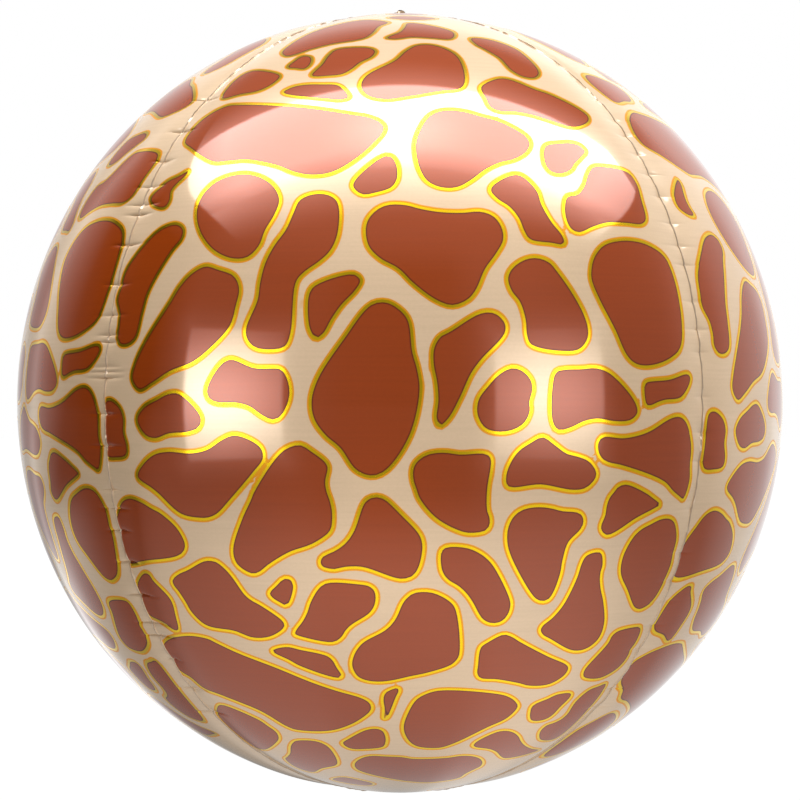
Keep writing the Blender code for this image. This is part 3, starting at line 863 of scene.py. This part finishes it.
def printed_foil():
    """Metallised film with its print: a brown patch, its dark rim, a yellow line that ends in orange, and cream."""
    material, nodes, shader = new_material("printed foil")
    depth = nodes.spread(nodes.attribute("print_depth"), -PRINT_RANGE / MM, PRINT_RANGE / MM)
    soft = PRINT_SOFTNESS
    colour = nodes.ramp(depth, print_stops((
        (-ORANGE_LINE - soft, CREAM_INK), (-ORANGE_LINE + soft, ORANGE_INK),
        (-YELLOW_LINE - soft, ORANGE_INK), (-YELLOW_LINE + soft, YELLOW_INK),
        (-BURNT_LINE - soft, YELLOW_INK), (-BURNT_LINE + soft, BURNT_INK),
        (0.0, RIM_INK), (DARK_RIM - soft, RIM_INK), (DARK_RIM + 2 * soft, BROWN_INK))))

    printed_metal = nodes.ramp(depth, print_stops((
        (-ORANGE_LINE - soft, grey(0.20)), (-ORANGE_LINE + soft, grey(0.40)),
        (-YELLOW_LINE - soft, grey(0.45)), (-YELLOW_LINE + soft, grey(0.95)), (-BURNT_LINE, grey(0.95)),
        (0.0, grey(0.40)), (DARK_RIM + 2 * soft, grey(0.22)))))
    at_lip = nodes.spread(nodes.attribute("seam_distance"), *WELD_END_MM, 1.0, 0.0)
    metallic = nodes.mix(at_lip, printed_metal, grey(0.30))
    sheet = nodes.add("ShaderNodeUVMap", uv_map="OFBake").outputs["UV"]
    streaks = nodes.noise(nodes.stretched(sheet, (5, 420, 1)), 1.0, 4.0, 0.6)
    grain = nodes.noise(nodes.stretched(sheet, (260, 520, 1)), 1.0, 2.0, 0.5)
    clouds = nodes.noise(nodes.stretched(sheet, (3, 6, 1)), 1.0, 2.0, 0.5)
    tone = nodes.plus(nodes.waver(streaks, -0.035, 0.035), nodes.waver(grain, -0.02, 0.02),
                      nodes.waver(clouds, -0.04, 0.04), 1.0)
    toned = nodes.add("ShaderNodeHueSaturation")
    nodes.link(tone, toned.inputs["Value"])
    nodes.link(nodes.mix(at_lip, colour, WELD_INK), toned.inputs["Color"])
    nodes.link(toned.outputs["Color"], shader.inputs["Base Color"])
    nodes.link(metallic, shader.inputs["Metallic"])
    roughness = nodes.plus(nodes.waver(streaks, 0.07, 0.11), nodes.waver(clouds, -0.01, 0.02))
    nodes.link(roughness, shader.inputs["Roughness"])
    shader.inputs["Specular IOR Level"].default_value = 0.0
    coat = nodes.ramp(depth, print_stops((
        (-ORANGE_LINE - soft, grey(1.0)), (-ORANGE_LINE + soft, grey(0.35)), (-BURNT_LINE, grey(0.35)),
        (DARK_RIM, grey(1.0)))))
    nodes.link(coat, shader.inputs["Coat Weight"])
    shader.inputs["Coat Roughness"].default_value = 0.03
    shader.inputs["Coat IOR"].default_value = 1.57

    beside_seam = nodes.spread(nodes.attribute("seam_distance"), *CRIMPS_END_MM, 1.0, 0.0)
    crimps = nodes.noise(nodes.stretched(sheet, (12, 520, 1)), 1.0, 2.0, 0.6)
    nodes.bump(nodes.plus(nodes.times(crimps, beside_seam), nodes.times(streaks, 0.05)), 0.6, 0.0002, shader)
    return material


def bare_foil():
    """The unprinted film of the neck, duller along its welded sides."""
    material, nodes, shader = new_material("neck foil")
    place = nodes.add("ShaderNodeTexCoord").outputs["Object"]
    wrinkles = nodes.noise(nodes.stretched(place, (90, 30, 1)), 1.0, 4.0, 0.6)
    weld = nodes.spread(nodes.attribute("weld"), 1.2, 1.9, 1.0, 0.0)
    colour = nodes.mix(weld, linear(206, 176, 132), linear(178, 146, 100))
    tinted = nodes.mix(nodes.spread(wrinkles, 0.35, 0.65, 0.0, 0.35), colour, linear(226, 202, 164))
    nodes.link(tinted, shader.inputs["Base Color"])
    shader.inputs["Metallic"].default_value = 0.6
    nodes.link(nodes.spread(weld, 0.0, 1.0, 0.22, 0.42), shader.inputs["Roughness"])
    nodes.bump(nodes.plus(wrinkles, nodes.times(weld, 0.4)), 0.5, 0.0003, shader)
    return material


def add_camera():
    camera = bpy.data.objects.new("camera", bpy.data.cameras.new("camera"))
    camera.data.sensor_width = SENSOR_MM
    camera.data.lens = FOCAL_LENGTH_PX * SENSOR_MM / PICTURE_SIZE_PX
    camera.location = (-math.sin(CAMERA_YAW) * CAMERA_DISTANCE, -math.cos(CAMERA_YAW) * CAMERA_DISTANCE,
                       CENTRE_HEIGHT)
    pitch = math.atan((BALLOON_CENTRE_PX[1] - PICTURE_SIZE_PX / 2) / FOCAL_LENGTH_PX)
    camera.rotation_euler = (math.pi / 2 + pitch, 0, -CAMERA_YAW)
    bpy.context.scene.collection.objects.link(camera)
    bpy.context.scene.camera = camera


# The studio round the balloon by direction. Azimuth is in degrees from the front, to the left negative.
SURROUND_BY_AZIMUTH = ((-180, 0.88), (-165, 0.78), (-150, 0.42), (-144, 0.46), (-138, 0.82), (-131, 0.52),
                       (-120, 0.24), (-114, 0.10), (-100, 0.05), (-78, 0.06), (-72, 0.25), (-66, 0.36), (-45, 0.38),
                       (-25, 0.36), (-17, 0.27), (0, 0.24), (15, 0.30), (25, 0.50), (41, 0.56), (50, 0.52),
                       (60, 0.38), (84, 0.40), (95, 0.52), (115, 0.76), (135, 0.86), (145, 1.08), (155, 1.02),
                       (165, 1.08), (180, 0.88))

# The bright spots that the balloon finds on the floor, in front of it and behind its left side: the middle, spread
# and light of each.
FLOOR_SPOTS = (((0.02, -0.24), (0.30, 0.17), 0.78),
               ((-0.34, 0.25), (0.30, 0.23), 0.74))


def surround_light(nodes, x, y):
    """The light of the studio in the direction that x and y point to."""
    azimuth = nodes.math("DEGREES", nodes.math("ARCTAN2", x, nodes.times(y, -1.0)))
    return nodes.ramp(nodes.spread(azimuth, -180, 180),
                      [((angle + 180) / 360, grey(light)) for angle, light in SURROUND_BY_AZIMUTH])


FLOOR_REACH = 12.0
FLOOR_DROP = 0.0001


def add_floor():
    """A plain pale floor that glows a little, like a light table, so it is white round the balloon. What it sends
    towards the balloon is strongest in two spots and fades into the studio's own light further out."""
    corners = [(x * FLOOR_REACH, y * FLOOR_REACH, 0) for x, y in ((-1, -1), (1, -1), (1, 1), (-1, 1))]
    floor = new_object("floor", corners, [(0, 1, 2, 3)])
    material, nodes, shader = new_material("pale floor")
    split = nodes.add("ShaderNodeSeparateXYZ")
    nodes.link(nodes.add("ShaderNodeTexCoord").outputs["Object"], split.inputs[0])
    x, y = split.outputs["X"], split.outputs["Y"]
    sent = surround_light(nodes, x, y)
    for middle, spread, light in FLOOR_SPOTS:
        sent = nodes.mix(1.0, sent, nodes.times(nodes.bell((x, y), middle, spread), light), "ADD")
    seen = nodes.add("ShaderNodeLightPath").outputs["Is Camera Ray"]
    nodes.link(nodes.mix(seen, sent, grey(1.0)), shader.inputs["Emission Color"])
    shader.inputs["Emission Strength"].default_value = 1.0
    shader.inputs["Base Color"].default_value = grey(0.02)
    shader.inputs["Roughness"].default_value = 0.9
    shader.inputs["Specular IOR Level"].default_value = 0.0
    floor.data.materials.append(material)
    floor.location.z = -FLOOR_DROP


# Overhead: the ceiling from front to back, and the softbox, measured on a flat sheet one unit above the balloon. It
# is brightest near its middle, weaker at its front edge and at both ends, and has a halo in front and behind.
CEILING_FROM_FRONT = ((0.0, 0.62), (0.45, 0.66), (0.65, 0.42), (0.8, 0.30), (1.0, 0.30))
CEILING_STARTS_AT, CEILING_FULL_AT = 35, 48
SOFTBOX_LIGHT = 6.5
SOFTBOX_PEAK, SOFTBOX_PEAK_PLACE, SOFTBOX_PEAK_SPREAD = 3.6, (0.0, -0.14), (0.21, 0.16)
SOFTBOX_ON_PRINT = 0.80
SOFTBOX_FRONT, SOFTBOX_FRONT_FADE = 0.55, 0.14
SOFTBOX_END, SOFTBOX_END_FADE = 0.50, 0.30
HALO_IN_FRONT, HALO_IN_FRONT_REACH = 2.9, 0.45
HALO_BEHIND, HALO_BEHIND_REACH = 1.3, 0.30

# The softbox's four edges on that sheet. Each starts from its first number and bows by its second one, times the
# square of the other coordinate; the right edge leans instead.
SOFTBOX_NEAR_EDGE = (-0.392, 0.17)
SOFTBOX_FAR_EDGE, SOFTBOX_FAR_LIMIT = (0.205, 0.30), 0.43
SOFTBOX_LEFT_EDGE = (-1.045, 1.1)
SOFTBOX_RIGHT_EDGE = (1.235, -0.1)
SOFTBOX_EDGE_SOFTNESS = 0.012
SOFTBOX_LOWEST = (0.3, 0.32)

# The two panels that the balloon mirrors at mid height: degrees round it and above its centre, seen from its middle.
PANEL_DISTANCE = 0.62
LEFT_PANEL = {"azimuth": (-54.8, -28.5), "bright_azimuth": -45.5, "elevation": (-12.4, 16.0), "light": 5.8}
RIGHT_PANEL = {"azimuth": (21.5, 49.8), "bright_azimuth": 36.0, "elevation": (-12.6, 16.5), "light": 3.75}
PANEL_BRIGHT_ELEVATION = 1.5
PANEL_SPREAD = (19.0, 12.0)
PANEL_EDGE = 0.8
PANEL_HALO, PANEL_HALO_REACH = 0.45, 7.0
PANEL_STEPS = 90

# A small lamp close in front lights the print without being mirrored in the film.
FILL_PLACE = (-0.02, -0.31, -0.08)
FILL_POWER = 0.27
FILL_RADIUS = 0.04


def add_world():
    """A white background, a room that is dimmer in front and to the left, and a bowed softbox overhead."""
    world = bpy.data.worlds.new("studio")
    world.use_nodes = True
    bpy.context.scene.world = world
    nodes = Nodes(world.node_tree)
    background = world.node_tree.nodes["Background"]
    split = nodes.add("ShaderNodeSeparateXYZ")
    nodes.link(nodes.add("ShaderNodeTexCoord").outputs["Generated"], split.inputs[0])
    x, y, z = split.outputs
    elevation = nodes.math("DEGREES", nodes.math("ARCSINE", z))
    ceiling = nodes.ramp(nodes.spread(y, -1, 1), [(place, grey(light)) for place, light in CEILING_FROM_FRONT])
    room = nodes.mix(nodes.spread(elevation, CEILING_STARTS_AT, CEILING_FULL_AT),
                     surround_light(nodes, x, y), ceiling)

    def bent(edge, value):
        start, factor = edge
        return nodes.plus(nodes.times(nodes.square(value), factor), start)

    def above(value, edge):
        return nodes.spread(nodes.minus(value, edge), -SOFTBOX_EDGE_SOFTNESS, SOFTBOX_EDGE_SOFTNESS)

    def halo(inside, outside, light, reach):
        return nodes.times(nodes.minus(1.0, inside), nodes.square(nodes.spread(outside, 0.0, reach, 1.0, 0.0)), light)

    across, back = nodes.math("DIVIDE", x, z), nodes.math("DIVIDE", y, z)
    behind_centre = nodes.math("MAXIMUM", back, 0.0)
    near_edge = bent(SOFTBOX_NEAR_EDGE, across)
    far_edge = nodes.math("MINIMUM", bent(SOFTBOX_FAR_EDGE, across), SOFTBOX_FAR_LIMIT)
    left_edge = bent(SOFTBOX_LEFT_EDGE, behind_centre)
    right_edge = nodes.plus(nodes.times(behind_centre, SOFTBOX_RIGHT_EDGE[1]), SOFTBOX_RIGHT_EDGE[0])
    between_ends = nodes.times(above(across, left_edge), above(right_edge, across), nodes.spread(z, *SOFTBOX_LOWEST))
    behind_near_edge, before_far_edge = above(back, near_edge), above(far_edge, back)

    peak = nodes.times(nodes.bell((across, back), SOFTBOX_PEAK_PLACE, SOFTBOX_PEAK_SPREAD), SOFTBOX_PEAK)
    from_front = nodes.spread(nodes.minus(back, near_edge), 0.0, SOFTBOX_FRONT_FADE, SOFTBOX_FRONT, 1.0)
    to_end = nodes.math("MINIMUM", nodes.minus(across, left_edge), nodes.minus(right_edge, across))
    from_end = nodes.spread(to_end, 0.0, SOFTBOX_END_FADE, SOFTBOX_END, 1.0)
    strength = nodes.times(nodes.plus(peak, SOFTBOX_LIGHT), from_front, from_end)
    inside = nodes.times(behind_near_edge, before_far_edge, between_ends)
    halos = nodes.plus(halo(behind_near_edge, nodes.minus(near_edge, back), HALO_IN_FRONT, HALO_IN_FRONT_REACH),
                       halo(before_far_edge, nodes.minus(back, far_edge), HALO_BEHIND, HALO_BEHIND_REACH))
    path = nodes.add("ShaderNodeLightPath").outputs
    softbox = nodes.times(nodes.plus(nodes.times(inside, strength), nodes.times(halos, between_ends)),
                          nodes.spread(path["Is Diffuse Ray"], 0.0, 1.0, 1.0, SOFTBOX_ON_PRINT))
    surround = nodes.mix(1.0, room, softbox, "ADD")
    nodes.link(nodes.mix(path["Is Camera Ray"], surround, grey(1.0)), background.inputs["Color"])
    background.inputs["Strength"].default_value = 1.0


def add_panel(name, place):
    """A glowing panel that bends round the balloon, brightest near its middle, and that no camera sees."""
    ranges = place["azimuth"], place["elevation"]
    azimuth, elevation = np.meshgrid(*(np.linspace(low - PANEL_HALO_REACH, high + PANEL_HALO_REACH, PANEL_STEPS + 1)
                                       for low, high in ranges))
    light = np.exp(-((azimuth - place["bright_azimuth"]) / PANEL_SPREAD[0]) ** 2
                   - ((elevation - PANEL_BRIGHT_ELEVATION) / PANEL_SPREAD[1]) ** 2) * place["light"]
    inward = [np.minimum(value - low, high - value) for value, (low, high) in zip((azimuth, elevation), ranges)]
    for from_edge in inward:
        light = light * smooth_step((from_edge / PANEL_EDGE + 1) / 2)
    outside = np.hypot(*(np.maximum(-from_edge, 0) for from_edge in inward))
    light = np.maximum(light, PANEL_HALO * np.clip(1 - outside / PANEL_HALO_REACH, 0, 1) ** 2)
    azimuth, elevation = np.radians(azimuth), np.radians(elevation)
    points = PANEL_DISTANCE * np.stack([np.cos(elevation) * np.sin(azimuth), -np.cos(elevation) * np.cos(azimuth),
                                        np.sin(elevation)], axis=2)
    points[:, :, 2] += CENTRE_HEIGHT
    faces = grid_quads(np.arange(azimuth.size).reshape(azimuth.shape))
    panel = new_object(name, points.reshape(-1, 3).tolist(), faces.tolist())
    add_value(panel.data, "light", light.ravel())
    material = bpy.data.materials.new(name)
    material.use_nodes = True
    material.node_tree.nodes.clear()
    nodes = Nodes(material.node_tree)
    glow = nodes.add("ShaderNodeEmission")
    nodes.link(nodes.attribute("light"), glow.inputs["Strength"])
    both = nodes.add("ShaderNodeAddShader")
    nodes.link(glow.outputs[0], both.inputs[0])
    nodes.link(nodes.add("ShaderNodeBsdfTransparent").outputs[0], both.inputs[1])
    nodes.link(both.outputs[0], nodes.add("ShaderNodeOutputMaterial").inputs["Surface"])
    panel.data.materials.append(material)
    panel.visible_camera = False
    panel.visible_diffuse = False


def add_fill():
    lamp = bpy.data.lights.new("front_fill", "POINT")
    lamp.energy = FILL_POWER
    lamp.shadow_soft_size = FILL_RADIUS
    fill = bpy.data.objects.new("front_fill", lamp)
    fill.location = (FILL_PLACE[0], FILL_PLACE[1], FILL_PLACE[2] + CENTRE_HEIGHT)
    fill.visible_camera = False
    fill.visible_glossy = False
    bpy.context.scene.collection.objects.link(fill)


def main():
    foil = printed_foil()
    loops = patch_loops()
    puckers = seam_puckers()
    for side in ("front", "right", "back", "left"):
        gore = build_gore(side, loops, puckers)
        gore.data.materials.append(foil)
        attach(gore, "root")
        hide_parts(side + "_panel")
    neck = build_neck()
    neck.data.materials.append(bare_foil())
    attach(neck, "root")
    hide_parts("filling_neck")
    add_floor()
    add_world()
    add_panel("left_light_panel", LEFT_PANEL)
    add_panel("right_light_panel", RIGHT_PANEL)
    add_fill()
    add_camera()
    bpy.context.scene.view_settings.view_transform = "Standard"


main()
